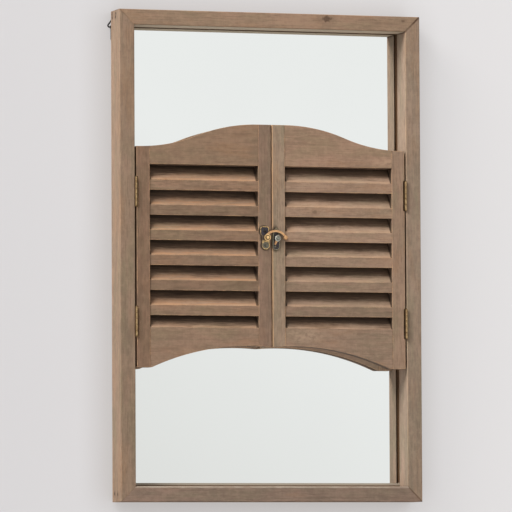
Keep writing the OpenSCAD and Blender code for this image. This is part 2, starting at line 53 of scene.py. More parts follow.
FLUSH = -0.050                       # the fronts of the frame and of the leaves
OUTSIDE = 0.258                      # the frame's outer sides, from the middle
TOP, FOOT = 0.0125, -0.7875          # the frame's upper and lower edges
LIP_SIDE, LIP_FOOT = 0.233, -0.7629  # the inner edges of the stiles and of the bottom rail
SLAT_FRONT = -0.049                  # the slats' front faces
SLAT_CREST = -0.0478                 # how far out a slat's slope begins,
RAIL_CREST = -0.0488                 # and the slope on a leaf's bottom rail
SLOPE_AT_MEETING = (0.0272, 0.0262)  # a slope's last millimetre beside each stile
SLOPE_AT_HINGE = (0.2052, 0.2060)
STILE_BACK = (-0.030, -0.035)        # where the painted shade on a leaf stile's side thins out behind
EYE = (-0.0093, 0.0, -0.3565)        # the middle of the hook's eye,
EYE_EDGE = (0.0064, 0.0056)          # the radius where the eye ends,
EYE_GROOVE = 0.0034                  # and that of the groove in it
HOOK_BACK = (-0.0566, -0.0548)       # the hook's far side, given painted shade
STUD = (0.0093, 0.0, -0.3575)        # the middle of the stud's head,
STUD_RIM = (0.0036, 0.0042)          # and the radius where its rim begins
PLATE_FACE = (-0.0505, -0.0508)      # the front of the stamped plates' sunk field,
PLATE_RIM = (-0.05110, -0.05140)     # and that of their raised rims
PLATE_FOOT = (-0.3600, -0.3640)      # the height below which a plate's foot begins
NECK = -0.3562                       # the height of the latch plate's neck
NECK_REACH = (0.0040, 0.0065)        # how far up and down the neck reaches
LINE_FOOT = (-0.7602, -0.7597)       # the lower edge of the pale line, a painted reflection, on the painted gap shade,
LINE_TOP = (-0.755, -0.756)          # and its upper edge
UPPER_HINGE = 0.2845                 # how far down the upper hinges' middles lie
KNUCKLE = 0.0096                     # a knuckle's length
HALF = math.sqrt(0.5)                # both parts of a direction at 45 degrees

# ---------- node trees ----------


def feed(tree, socket, value):
    """Links what varies over the surface, and sets what doesn't."""
    if isinstance(value, bpy.types.NodeSocket):
        tree.links.new(value, socket)
    else:
        socket.default_value = value


def set_inputs(tree, node, **values):
    """Feeds inputs by name, with an underscore for a space."""
    for name, value in values.items():
        feed(tree, node.inputs[name.replace("_", " ")], value)


def add(tree, kind, inputs=None, **settings):
    """One node with its settings, and its inputs linked or set."""
    node = tree.nodes.new(kind)
    for name, value in settings.items():
        setattr(node, name, value)
    for key, value in (inputs or {}).items():
        feed(tree, node.inputs[key], value)
    return node


def math_node(tree, operation, a, b=0.0, clamp=False):
    node = add(tree, "ShaderNodeMath", {0: a, 1: b}, operation=operation, use_clamp=clamp)
    return node.outputs[0]


def times(tree, value, *others):
    """The product of masks and numbers."""
    for other in others:
        value = math_node(tree, "MULTIPLY", value, other)
    return value


def plus(tree, value, *others):
    for other in others:
        value = math_node(tree, "ADD", value, other)
    return value


def minus(tree, a, b):
    return math_node(tree, "SUBTRACT", a, b)


def spread(tree, value, low, high, to_low=0.0, to_high=1.0):
    """Maps a value's range onto another, and holds it there."""
    return add(tree, "ShaderNodeMapRange", {"Value": value, "From Min": low, "From Max": high,
                                            "To Min": to_low, "To Max": to_high}).outputs[0]


def noise(tree, vector, scale, detail=3.0, roughness=0.55, distortion=0.0):
    return add(tree, "ShaderNodeTexNoise", {
        "Vector": vector, "Scale": scale, "Detail": detail, "Roughness": roughness,
        "Distortion": distortion}).outputs["Fac"]


def vector_math(tree, operation, a, b=None):
    inputs = {0: a} if b is None else {0: a, 1: b}
    node = add(tree, "ShaderNodeVectorMath", inputs, operation=operation)
    return node.outputs["Value" if operation in ("LENGTH", "DOT_PRODUCT") else "Vector"]


def stretched(tree, vector, scale):
    return vector_math(tree, "MULTIPLY", vector, scale)


def axes(tree, vector):
    """A vector's X, Y and Z."""
    return add(tree, "ShaderNodeSeparateXYZ", {0: vector}).outputs


def facing_way(tree):
    """Which way the surface faces: X, Y and Z of its normal."""
    return axes(tree, add(tree, "ShaderNodeTexCoord").outputs["Normal"])


def blend(tree, factor, a, b):
    return add(tree, "ShaderNodeMix", {0: factor, 6: a, 7: b}, data_type="RGBA").outputs[2]


def layered(tree, colour, layers):
    """Lays colours over each other: (value, where it starts, where it's full, strength, paint)."""
    for value, start, full, strength, paint in layers:
        colour = blend(tree, spread(tree, value, start, full, 0.0, strength), colour, paint)
    return colour


def mix_shader(tree, factor, a, b):
    return add(tree, "ShaderNodeMixShader", {0: factor, 1: a, 2: b}).outputs[0]


def new_group(name, vectors, numbers, results):
    """An empty node group: its vector inputs, its number inputs with values, its outputs."""
    group = bpy.data.node_groups.new(name, "ShaderNodeTree")
    for label in vectors:
        group.interface.new_socket(name=label, in_out="INPUT", socket_type="NodeSocketVector")
    for label, value in numbers.items():
        group.interface.new_socket(name=label, in_out="INPUT",
                                   socket_type="NodeSocketFloat").default_value = value
    for label in results:
        group.interface.new_socket(name=label, in_out="OUTPUT", socket_type="NodeSocketFloat")
    given = group.nodes.new("NodeGroupInput").outputs
    return group, given, group.nodes.new("NodeGroupOutput").inputs


def use(tree, group, **inputs):
    """A shared effect, placed in a material with its own values."""
    node = add(tree, "ShaderNodeGroup", node_tree=group)
    set_inputs(tree, node, **inputs)
    return node.outputs


def srgb(r, g, b):
    """A colour as read off a picture, 0 to 255, as the shader wants it."""
    def lin(v):
        v /= 255
        return v / 12.92 if v <= 0.04045 else ((v + 0.055) / 1.055) ** 2.4
    return (lin(r), lin(g), lin(b), 1.0)


def shade(colour, gain, warm=0.0):
    """The same stain, lighter or darker, and turned towards red or towards green."""
    return tinted(colour, gain * (1 + 0.10 * warm), gain * (1 - 0.02 * warm),
                  gain * (1 + 0.02 * warm))


def tinted(colour, r, g, b):
    return (colour[0] * r, colour[1] * g, colour[2] * b, 1.0)


# ---------- shared effects ----------


def make_grain():
    """Softwood grain with its length along X: streaks, growth bands, pores and cloudy stain."""
    group, given, out = new_group("softwood_grain", ["Vector"], {},
                                  ["Streaks", "Bands", "Pores", "Stain"])
    place = given["Vector"]
    drift = minus(group, noise(group, stretched(group, place, (6.0, 14.0, 14.0)), 1.0, 2.0), 0.5)
    bend = add(group, "ShaderNodeCombineXYZ", {0: 0.0, 1: drift, 2: drift}).outputs[0]
    waved = vector_math(group, "ADD", place, stretched(group, bend, (1.0, 0.006, 0.009)))
    long_streak = noise(group, stretched(group, waved, (16.0, 360.0, 360.0)), 1.0, 4.0, 0.66)
    short_streak = noise(group, stretched(group, waved, (52.0, 620.0, 620.0)), 1.0, 3.0, 0.62)
    feed(group, out["Streaks"],
         plus(group, times(group, long_streak, 0.55), times(group, short_streak, 0.45)))
    growth = stretched(group, waved, (12.0, 150.0, 150.0))
    feed(group, out["Bands"], noise(group, growth, 1.0, 2.0, 0.5, 0.4))
    pore = noise(group, stretched(group, waved, (90.0, 1300.0, 1300.0)), 1.0, 2.0, 0.5)
    feed(group, out["Pores"], spread(group, pore, 0.60, 0.72))
    clouds = stretched(group, place, (16.0, 40.0, 40.0))
    feed(group, out["Stain"], noise(group, clouds, 1.0, 4.0, 0.62))
    return group


def make_wear():
    """Where edges are rubbed bare, broken up by noise."""
    group, given, out = new_group("rubbed_edges", ["Vector"], {"Radius": 0.0016, "Amount": 1.0},
                                  ["Mask"])
    geometry = add(group, "ShaderNodeNewGeometry")
    rounded = add(group, "ShaderNodeBevel", {"Radius": given["Radius"]}, samples=6)
    facing = vector_math(group, "DOT_PRODUCT", rounded.outputs[0], geometry.outputs["Normal"])
    edge = spread(group, facing, 0.99, 0.90)
    patches = noise(group, given["Vector"], 58.0, 5.0, 0.65)
    worn = times(group, edge, spread(group, patches, 0.40, 0.62))
    feed(group, out["Mask"], math_node(group, "MULTIPLY", worn, given["Amount"], clamp=True))
    return group


def make_knot():
    """A knot at a place, with dark heart, rings round it and a soft halo."""
    group, given, out = new_group("knot", ["Vector", "Place"], {"Size": 0.006},
                                  ["Heart", "Halo"])
    away = vector_math(group, "SUBTRACT", given["Vector"], given["Place"])
    ruffle = minus(group, noise(group, given["Vector"], 260.0, 3.0), 0.5)
    length = vector_math(group, "LENGTH", stretched(group, away, (0.7, 1.0, 1.0)))
    near = math_node(group, "DIVIDE", length, given["Size"])
    rough = plus(group, near, times(group, ruffle, 1.1))
    rings = math_node(group, "SINE", times(group, rough, 9.0))
    feed(group, out["Heart"], spread(group, rough, 0.55, 0.25))
    feed(group, out["Halo"], times(group, spread(group, rough, 1.25, 0.5),
                                   spread(group, rings, -1.0, 1.0, 0.45, 1.0)))
    return group


def make_joint():
    """A line on a plane that is at right angles to Across, Offset metres out."""
    group, given, out = new_group("joint_line", ["Vector", "Across"],
                                  {"Offset": 0.0, "Width": 0.001}, ["Mask"])
    reach = vector_math(group, "DOT_PRODUCT", given["Vector"], given["Across"])
    wander = times(group, minus(group, noise(group, given["Vector"], 120.0, 3.0), 0.5), 0.0012)
    away = math_node(group, "ABSOLUTE",
                     minus(group, plus(group, reach, wander), given["Offset"]))
    near = math_node(group, "DIVIDE", away, given["Width"])
    broken = spread(group, noise(group, given["Vector"], 35.0, 3.0), 0.35, 0.6, 0.45, 1.0)
    feed(group, out["Mask"], times(group, spread(group, near, 1.0, 0.35), broken))
    return group


def make_smudge():
    """A mark on a board's face: an oval of Radius across, longer in height, with a soft edge."""
    group, given, out = new_group("smudge", ["Vector", "Place"],
                                  {"Radius": 0.006, "Height": 1.0, "Soft": 0.0022}, ["Mask"])
    away = vector_math(group, "SUBTRACT", given["Vector"], given["Place"])
    flat = axes(group, away)
    tall = math_node(group, "DIVIDE", flat[2], given["Height"])
    oval = add(group, "ShaderNodeCombineXYZ", {0: flat[0], 1: 0.0, 2: tall}).outputs[0]
    reach = minus(group, vector_math(group, "LENGTH", oval), given["Radius"])
    edge = math_node(group, "DIVIDE", reach, given["Soft"])
    feed(group, out["Mask"], spread(group, edge, 1.0, 0.0))
    return group


def make_patina():
    """Scratches and cloudy tarnish for small metal pieces."""
    group, given, out = new_group("tarnish", ["Vector"], {"Scale": 300.0},
                                  ["Clouds", "Scratches"])
    clouds = noise(group, given["Vector"], given["Scale"], 4.0, 0.6)
    feed(group, out["Clouds"], spread(group, clouds, 0.35, 0.65))
    lines = stretched(group, given["Vector"], (900.0, 900.0, 5200.0))
    feed(group, out["Scratches"], spread(group, noise(group, lines, 1.0, 3.0, 0.7), 0.3, 0.7))
    return group


grain = make_grain()
wear = make_wear()
knot = make_knot()
joint = make_joint()
smudge = make_smudge()
patina = make_patina()

# ---------- wood ----------

BARE_AND_HIGHLIGHT = srgb(206, 163, 122)     # rubbed edges, and painted highlights on louvre crests and edges
HEART = srgb(74, 54, 42)       # knots
SHADE_AND_DIRT = srgb(76, 60, 47)       # painted shade deep in the louvres, beside and under them; with grime, round the latch plates
CRACK = srgb(74, 50, 38)       # open joints
ARRIS = srgb(190, 160, 128)    # the right stile's inner edge, rubbed thin
RUBBED_AND_LIT_EDGE = srgb(184, 170, 154)    # the bottom rail's inner edge: rubbed pale, and a painted highlight for its lit top
UNDERSIDE_LIGHT = srgb(194, 182, 160)    # painted light on the top rail's underside
LOG_STEP = (0.37, 0.113, 0.071)    # metres between two boards' places in the log


def start_material(name):
    """A material with one principled shader, and the place on the object."""
    material = bpy.data.materials.new(name)
    material.use_nodes = True
    tree = material.node_tree
    tree.nodes.clear()
    shader = add(tree, "ShaderNodeBsdfPrincipled")
    add(tree, "ShaderNodeOutputMaterial", {0: shader.outputs[0]})
    return material, tree, shader, add(tree, "ShaderNodeTexCoord").outputs["Object"]


def stain_board(tree, along, figure, mottle, stain, contrast):
    """A board's stain, broken up by its grain; along is its place with the grain along X."""
    clouds = spread(tree, figure["Stain"], 0.36, 0.64)
    tone = noise(tree, stretched(tree, along, (9.0, 34.0, 34.0)), 1.0, 3.0)
    chatter = noise(tree, stretched(tree, along, (520.0, 60.0, 60.0)), 1.0, 3.0, 0.6)
    bands, streaks = figure["Bands"], figure["Streaks"]
    colour = blend(tree, clouds, shade(stain, 0.85, -0.4), shade(stain, 1.14, 0.35))
    return layered(tree, colour, [
        (tone, 0.52, 0.66, 0.8, tinted(stain, 1.10, 0.98, 0.88)),
        (tone, 0.48, 0.34, 0.8, tinted(stain, 0.88, 0.98, 0.91)),
        (bands, 0.50, 0.70, 0.45 * contrast, shade(stain, 1.18, 0.3)),
        (bands, 0.46, 0.28, 0.40 * contrast, shade(stain, 0.78, -0.2)),
        (streaks, 0.50, 0.66, 0.75 * contrast, shade(stain, 0.58, 0.1)),
        (streaks, 0.47, 0.33, 0.50 * contrast, shade(stain, 1.30, 0.2)),
        (figure["Pores"], 0.0, 1.0, 0.30, shade(stain, 0.45)),
        (mottle, 0.50, 0.70, 0.55, shade(stain, 0.76, 0.4)),
        (mottle, 0.50, 0.30, 0.55, shade(stain, 1.22, -0.2)),
        (chatter, 0.50, 0.72, 0.12, shade(stain, 0.70)),
        (chatter, 0.50, 0.28, 0.12, shade(stain, 1.25, 0.3))])


def mark_board(tree, colour, place, mottle, stain, knots, bare, joints, dark_ovals, pale):
    """Knots, rubbed edges, lines of wear, shadow and painted highlight, dark ovals of grime and
    painted shadow, and pale smears, each at its own place.
    """
    for at, size, strength in knots:
        mark = use(tree, knot, Vector=place, Place=at, Size=size)
        colour = blend(tree, times(tree, mark["Halo"], 0.55 * strength), colour,
                       shade(stain, 0.55, 0.3))
        colour = blend(tree, times(tree, mark["Heart"], 0.8 * strength), colour, HEART)
    rubbed = use(tree, wear, Vector=place, Radius=0.0019, Amount=0.85 * bare)
    colour = blend(tree, rubbed["Mask"], colour, BARE_AND_HIGHLIGHT)
    # lines: open joints, rubbed arrises, and painted highlights along the bottom rail's inner
    # arris and the right meeting stile's edge
    for across, offset, width, strength, paint in joints:
        line = use(tree, joint, Vector=place, Across=across, Offset=offset, Width=width)
        colour = blend(tree, times(tree, line["Mask"], strength), colour, paint)
    # dark ovals round the latch plates: grime, and painted shadow from the plates
    for middle, radius, height in dark_ovals:
        darkening = use(tree, smudge, Vector=place, Place=middle, Radius=radius, Height=height)
        colour = blend(tree, times(tree, darkening["Mask"], 0.9), colour, shade(SHADE_AND_DIRT, 0.6))
    for middle, radius, height, soft in pale:
        spot = use(tree, smudge, Vector=place, Place=middle, Radius=radius, Height=height,
                   Soft=soft)
        broken = spread(tree, mottle, 0.62, 0.42, 0.15, 0.75)
        colour = blend(tree, times(tree, spot["Mask"], broken), colour,
                       shade(stain, 1.5, -0.2))
    return colour


def paint_slope_light_and_shade(tree, colour, figure, at, facing, crest, worn, sunk):
    """A louvre's slope: pale near its crest, partly rubbed wood and partly a painted highlight,
    with painted shade that deepens towards the back and at its ends beside the stiles.
    """
    # worn: how much the crest is rubbed pale and given a painted highlight, its colour, and how
    # black the painted shade is deep inside
    amount, paint, black = worn
    ragged = times(tree, minus(tree, figure["Streaks"], 0.5), 0.020)
    patchy = times(tree, minus(tree, figure["Stain"], 0.5), 0.015)
    depth = plus(tree, at[1], ragged, patchy, sunk)
    slope = spread(tree, at[1], crest - 0.0010, crest - 0.0006)
    outward = times(tree, spread(tree, facing[1], 0.05, -0.05),
                    spread(tree, facing[2], 0.2, 0.4))
    # a painted highlight where light falls on the slope's outer part, broken by streaks like
    # rubbed wood
    lit = times(tree, slope, outward, spread(tree, depth, crest + 0.010, crest + 0.003))
    streaky = spread(tree, figure["Streaks"], 0.44, 0.60, 0.0, amount)
    colour = blend(tree, times(tree, lit, streaky), colour, paint)
    # a thin line along the crest: rubbed bare wood and a painted highlight
    edge = times(tree, slope, spread(tree, at[1], crest + 0.0024, crest + 0.0004),
                 spread(tree, figure["Stain"], 0.40, 0.60, 0.05, 0.5 * amount))
    colour = blend(tree, times(tree, edge, outward), colour, BARE_AND_HIGHLIGHT)
    # painted shade, deepening towards the back of the slope
    near = spread(tree, depth, crest + 0.001, crest + 0.008, 0.0, 0.38)
    deep = spread(tree, depth, crest + 0.006, crest + 0.011, 0.0, 0.42)
    colour = blend(tree, times(tree, plus(tree, near, deep), outward), colour, SHADE_AND_DIRT)
    # painted shade, near black, deepest in the recess
    deepest = spread(tree, depth, crest + 0.0115, crest + 0.0165, 0.0, black)
    colour = blend(tree, times(tree, deepest, outward), colour, shade(SHADE_AND_DIRT, 0.25))
    # painted shade at the slope's ends beside the stiles
    aside = math_node(tree, "ABSOLUTE", at[0])
    ends = math_node(tree, "MAXIMUM", spread(tree, aside, *SLOPE_AT_MEETING),
                     spread(tree, aside, *SLOPE_AT_HINGE))
    return blend(tree, times(tree, slope, ends, outward, 0.85), colour, shade(SHADE_AND_DIRT, 0.7))


def shade_pocket(tree, colour, at, facing, pocket):
    """Painted shade on the side of a stile that looks into the louvres."""
    inward = spread(tree, times(tree, facing[0], pocket), 0.6, 0.9)
    darkening = times(tree, spread(tree, at[1], FLUSH + 0.0008, FLUSH + 0.004, 0.0, 0.9),
                 spread(tree, at[1], *STILE_BACK, 0.2, 1.0))
    return blend(tree, times(tree, inward, darkening), colour, SHADE_AND_DIRT)


def wood(name, upright, seed, stain, contrast=1.0, knots=(), bare=1.0, joints=(), dark_ovals=(),
         pale=(), pocket=None, under=None, louvre=None, worn=None, sunk=0.0):
    """Stained fir for one board: its grain's direction, its own place in the log and its stain.

    knots are (middle, size, strength), bare says how much of its edges is rubbed, joints are
    lines of wear, of shadow and of painted highlight (across, offset, width, strength, colour),
    the dark ovals are grime and painted shadow (middle, radius, height) and pale is smears
    (middle, radius, height, softness). pocket says which way the board's side looks into the
    louvres, and under is painted shade, on the top rail painted light, for its underside
    (from y, to y, strength, colour). louvre is how far out a slope's crest lies, worn says how
    much the slope is rubbed pale and given a painted highlight, to what colour, and how black
    its painted shade is deep inside, and sunk brings that painted shade that much further out.
    """
    material, tree, shader, place = start_material(name)
    turn = (0.0, math.pi / 2, 0.0) if upright else (0.0, 0.0, 0.0)
    along = add(tree, "ShaderNodeMapping", {
        "Vector": place, "Rotation": turn,
        "Location": tuple(seed * step for step in LOG_STEP)}).outputs[0]
    figure = use(tree, grain, Vector=along)
    mottle = noise(tree, stretched(tree, along, (95.0, 150.0, 150.0)), 1.0, 4.0, 0.62)
    colour = stain_board(tree, along, figure, mottle, stain, contrast)
    colour = mark_board(tree, colour, place, mottle, stain, knots, bare, joints, dark_ovals, pale)
    if (louvre, pocket, under) != (None, None, None):
        at, facing = axes(tree, place), facing_way(tree)
    if louvre is not None:
        colour = paint_slope_light_and_shade(tree, colour, figure, at, facing, louvre, worn, sunk)
    if pocket is not None:
        colour = shade_pocket(tree, colour, at, facing, pocket)
    if under is not None:
        start, end, strength, paint = under
        below = times(tree, spread(tree, facing[2], -0.4, -0.7),
                      spread(tree, at[1], start, end, 0.0, strength))
        colour = blend(tree, below, colour, paint)
    rounded = add(tree, "ShaderNodeBevel", {"Radius": 0.0007}, samples=4).outputs[0]
    relief = plus(tree, times(tree, figure["Streaks"], 0.7), times(tree, figure["Pores"], -0.5))
    bump = add(tree, "ShaderNodeBump", {"Strength": 0.30, "Distance": 0.0004,
                                        "Height": relief, "Normal": rounded}).outputs[0]
    rough = spread(tree, figure["Stain"], 0.3, 0.7, 0.72, 0.86)
    set_inputs(tree, shader, Base_Color=colour, Roughness=rough, Normal=bump,
               Specular_IOR_Level=0.3)
    return material


# ---------- metal ----------

COPPER, DULL_COPPER = srgb(236, 188, 138), srgb(176, 128, 86)
BRASS, DULL_BRASS = srgb(190, 160, 118), srgb(134, 106, 70)


def scratched(tree, scratches, **inputs):
    """Fine scratches in a metal's surface."""
    bump = add(tree, "ShaderNodeBump", {"Strength": 0.12, "Distance": 0.0002,
                                        "Height": scratches})
    set_inputs(tree, bump, **inputs)
    return bump.outputs[0]


def away_from(tree, place, middle):
    """How far a place lies from a middle, seen from the front."""
    flat = vector_math(tree, "SUBTRACT", stretched(tree, place, (1.0, 0.0, 1.0)), middle)
    return vector_math(tree, "LENGTH", flat)


def metal(name, bright, dull, rough, clean=0.5, plated=1.0, dark_above=None):
    """A small metal fitting: bright where it's rubbed, dull in its clouds of tarnish."""
    material, tree, shader, place = start_material(name)
    marks = use(tree, patina, Vector=place, Scale=300.0)
    edges = use(tree, wear, Vector=place, Radius=0.0006, Amount=1.0)
    colour = blend(tree, times(tree, marks["Clouds"], clean), dull, bright)
    colour = blend(tree, edges["Mask"], colour, bright)
    if dark_above is not None:
        colour = layered(tree, colour, [
            (axes(tree, place)[2], dark_above, dark_above + 0.001, 0.8, dull)])
    rounded = add(tree, "ShaderNodeBevel", {"Radius": 0.0003}, samples=4).outputs[0]
    roughness = spread(tree, marks["Scratches"], 0.0, 1.0, rough - 0.07, rough + 0.1)
    set_inputs(tree, shader, Base_Color=colour, Roughness=roughness, Metallic=plated,
               Normal=scratched(tree, marks["Scratches"], Normal=rounded))
    return material


def brass_hinge():
    """Thin rolled brass, with painted shade at its sides and in the breaks between its knuckles.
    """
    material, tree, shader, place = start_material("hinge_brass")
    marks = use(tree, patina, Vector=place, Scale=420.0)
    # the breaks lie half a knuckle from the upper hinge's middle, and each knuckle from there
    height = plus(tree, axes(tree, place)[2], UPPER_HINGE + KNUCKLE / 2 + 10 * KNUCKLE)
    gap = math_node(tree, "PINGPONG", height, KNUCKLE / 2)
    aside = math_node(tree, "ABSOLUTE", facing_way(tree)[0])
    colour = blend(tree, marks["Clouds"], DULL_BRASS, BRASS)
    # painted shade in the breaks between the knuckles, and on the barrel's sides
    colour = layered(tree, colour, [(gap, 0.0011, 0.0003, 0.4, srgb(96, 72, 42)),
                                    (aside, 0.45, 0.9, 0.8, srgb(84, 62, 38))])
    set_inputs(tree, shader, Base_Color=colour, Metallic=0.8,
               Roughness=spread(tree, marks["Scratches"], 0.0, 1.0, 0.28, 0.45),
               Normal=scratched(tree, marks["Scratches"]))
    return material


def stamped_plate(name, colour, foot, rubbed, neck=None):
    """A stamped plate: a raised rim rubbed bright, less so at its neck, a dark field and foot."""
    material, tree, shader, place = start_material(name)
    marks = use(tree, patina, Vector=place, Scale=500.0)
    at = axes(tree, place)
    rim = times(tree, spread(tree, at[1], *PLATE_RIM),
                spread(tree, noise(tree, place, 330.0, 2.0), 0.36, 0.60, 0.15, 1.0))
    if neck is not None:
        waist = math_node(tree, "ABSOLUTE", minus(tree, at[2], neck))
        rim = times(tree, rim, spread(tree, waist, *NECK_REACH, 0.2, 1.0))
    field = blend(tree, marks["Clouds"], colour, shade(colour, 1.9))
    lower = times(tree, spread(tree, at[2], *PLATE_FOOT), spread(tree, at[1], *PLATE_FACE))
    field = blend(tree, lower, field, blend(tree, marks["Clouds"], foot, shade(foot, 1.4)))
    set_inputs(tree, shader, Base_Color=blend(tree, rim, field, rubbed),
               Roughness=spread(tree, marks["Scratches"], 0.0, 1.0, 0.32, 0.5),
               Metallic=spread(tree, rim, 0.0, 1.0, 0.35, 0.85))
    return material


def hook_copper():
    """The hook's coppery brass: bright in front, dark in the groove round its eye, and with
    painted shade on its far side.
    """
    material, tree, shader, place = start_material("hook_copper")
    marks = use(tree, patina, Vector=place, Scale=420.0)
    reach = away_from(tree, place, EYE)
    off_groove = math_node(tree, "ABSOLUTE", minus(tree, reach, EYE_GROOVE))
    groove = spread(tree, off_groove, 0.0010, 0.0006)
    # painted shade on the hook's far side, towards the plate
    behind = spread(tree, axes(tree, place)[1], *HOOK_BACK, 0.0, 0.9)
    dark = math_node(tree, "MAXIMUM", times(tree, groove, 0.85), behind)
    colour = blend(tree, marks["Clouds"], DULL_COPPER, COPPER)
    colour = layered(tree, colour, [(reach, *EYE_EDGE, 0.7, srgb(246, 208, 146))])
    colour = blend(tree, dark, colour, srgb(66, 44, 28))
    set_inputs(tree, shader, Base_Color=colour, Metallic=0.85,
               Roughness=spread(tree, marks["Scratches"], 0.0, 1.0, 0.26, 0.42),
               Normal=scratched(tree, marks["Scratches"]))
    return material


def stud_nickel():
    """The stud's nickel: a bright rim round a grey, pitted face."""
    material, tree, shader, place = start_material("stud_nickel")
    pits = spread(tree, noise(tree, place, 620.0, 2.0, 0.5), 0.42, 0.6)
    face = blend(tree, pits, srgb(168, 168, 156), srgb(66, 66, 60))
    rim = spread(tree, away_from(tree, place, STUD), *STUD_RIM)
    set_inputs(tree, shader, Base_Color=blend(tree, rim, face, srgb(214, 214, 202)),
               Roughness=spread(tree, pits, 0.0, 1.0, 0.25, 0.5), Metallic=0.8)
    return material


# ---------- board, glass and the painted shade at the glass's edge ---

REFLECTS = 0.88     # the share of light that the mirror sends back


def board_material():
    """Bare brown hardboard: fibres and specks."""
    material, tree, shader, place = start_material("hardboard")
    specks = noise(tree, place, 900.0, 3.0, 0.7)
    clouds = noise(tree, place, 30.0, 3.0, 0.6)
    colour = blend(tree, spread(tree, clouds, 0.35, 0.65), srgb(134, 102, 72),
                   srgb(143, 110, 78))
    colour = layered(tree, colour, [(specks, 0.5, 0.75, 0.5, srgb(88, 62, 42))])
    bump = add(tree, "ShaderNodeBump", {"Strength": 0.3, "Distance": 0.0003, "Height": specks})
    set_inputs(tree, shader, Base_Color=colour, Normal=bump.outputs[0],
               Roughness=spread(tree, clouds, 0.3, 0.7, 0.7, 0.85))
    return material


def silver_material():
    """Silvering seen through clear glass, with painted shade in its reflection low down and to the
    left, and the faintest haze.
    """
    material, tree, shader, place = start_material("silvered_glass")
    haze = noise(tree, place, 7.0, 3.0, 0.5)
    at = axes(tree, place)
    # darker low down and to the left: painted shade in the reflection
    height = spread(tree, plus(tree, at[2], times(tree, at[0], 0.9)), -0.95, -0.35)
    low, high, dim = (shade(paint, REFLECTS) for paint in (
        srgb(236, 237, 235), srgb(249, 251, 250), srgb(225, 228, 226)))
    colour = layered(tree, blend(tree, height, low, high), [(haze, 0.3, 0.7, 0.05, dim)])
    set_inputs(tree, shader, Base_Color=colour, Metallic=1.0,
               Roughness=spread(tree, haze, 0.3, 0.7, 0.004, 0.010))
    return material


def gap_shade_paint():
    """Matt dark brown round the glass's edge, a painted shade for the dark gap behind the frame's
    lip, with a thin pale line along its foot, a painted reflection of the bottom rail's top.
    """
    material, tree, shader, place = start_material("gap_shade_paint")
    dust = noise(tree, place, 400.0, 3.0, 0.6)
    height = axes(tree, place)[2]
    # the pale line: a painted reflection of the bottom rail's top
    thin = times(tree, spread(tree, height, *LINE_FOOT), spread(tree, height, *LINE_TOP))
    paint = blend(tree, spread(tree, dust, 0.5, 0.8), srgb(93, 67, 45), srgb(114, 86, 60))
    set_inputs(tree, shader, Base_Color=blend(tree, thin, paint, srgb(168, 158, 142)),
               Roughness=spread(tree, dust, 0.3, 0.7, 0.6, 0.9))
    return material


# ---------- camera ----------

LENS = 385.14
CAMERA_AT = (-2.75756, -8.54499, -0.91706)
YAW, PITCH, ROLL = 0.31096, 0.05936, -0.00481


def place_camera():
    """The photograph's view: far off to the left and a little low."""
    data = bpy.data.cameras.new("camera")
    data.sensor_width = 36.0
    data.lens = LENS
    data.clip_start, data.clip_end = 0.5, 60.0
    camera = bpy.data.objects.new("camera", data)
    bpy.context.collection.objects.link(camera)
    ahead = Vector((math.sin(YAW) * math.cos(PITCH), math.cos(YAW) * math.cos(PITCH),
                    math.sin(PITCH)))
    level = Vector((math.cos(YAW), -math.sin(YAW), 0.0))
    above = level.cross(ahead)
    right = level * math.cos(ROLL) + above * math.sin(ROLL)
    up = above * math.cos(ROLL) - level * math.sin(ROLL)
    turn = Matrix((right, up, -ahead)).transposed()
    camera.matrix_world = Matrix.Translation(CAMERA_AT) @ turn.to_4x4()
    bpy.context.scene.camera = camera


# ---------- stage and light ----------

BACKDROP_AT = 0.0056        # just behind the hangers
BACKDROP_GLOW = 0.78
FLOOR_AT = -1.75
MIDDLE = (0.0, 0.0, -0.39)  # the middle of the object


def stage_plane(name, corners, material):
    shape = bmesh.new()
    shape.faces.new([shape.verts.new(c) for c in corners])
    mesh = bpy.data.meshes.new(name)
    shape.to_mesh(mesh)
    shape.free()
    mesh.materials.append(material)
    item = bpy.data.objects.new(name, mesh)
    bpy.context.collection.objects.link(item)


def show(tree, shader):
    tree.links.new(shader, tree.nodes["Material Output"].inputs[0])


def backdrop_material():
    """Pale matt paint that glows a little, so that its shadows stay faint, with a painted shadow
    in the glow round the frame.

    From behind it isn't there, and it lets light through to the back of the frame, a few
    millimetres off.
    """
    material, tree, shader, place = start_material("wall_paint")
    mottle = noise(tree, place, 3.0, 3.0)
    across = spread(tree, axes(tree, place)[0], -0.5, 0.5)
    set_inputs(tree, shader, Roughness=0.95, Specular_IOR_Level=0.1,
               Base_Color=blend(tree, mottle, srgb(208, 204, 204), srgb(212, 208, 208)))
    # the glow is darker close to the frame, a painted shadow, and lighter towards the right,
    # painted light
    close = add(tree, "ShaderNodeAmbientOcclusion", {"Distance": 0.06}, samples=12)
    glow = blend(tree, spread(tree, close.outputs["AO"], 0.45, 1.0), srgb(200, 196, 194),
                 blend(tree, across, srgb(219, 217, 218), srgb(235, 233, 233)))
    lit = add(tree, "ShaderNodeEmission", {"Color": glow, "Strength": 1.0}).outputs[0]
    path = add(tree, "ShaderNodeLightPath").outputs
    camera = path["Is Camera Ray"]
    behind = add(tree, "ShaderNodeNewGeometry").outputs["Backfacing"]
    shown = mix_shader(tree, times(tree, camera, BACKDROP_GLOW), shader.outputs[0], lit)
    clear = add(tree, "ShaderNodeBsdfTransparent").outputs[0]
    soft = math_node(tree, "MAXIMUM", path["Is Diffuse Ray"], path["Is Shadow Ray"])
    near = times(tree, soft, math_node(tree, "LESS_THAN", path["Ray Length"], 0.012))
    through = math_node(tree, "MAXIMUM", times(tree, behind, camera), near)
    show(tree, mix_shader(tree, through, shown, clear))
    return material


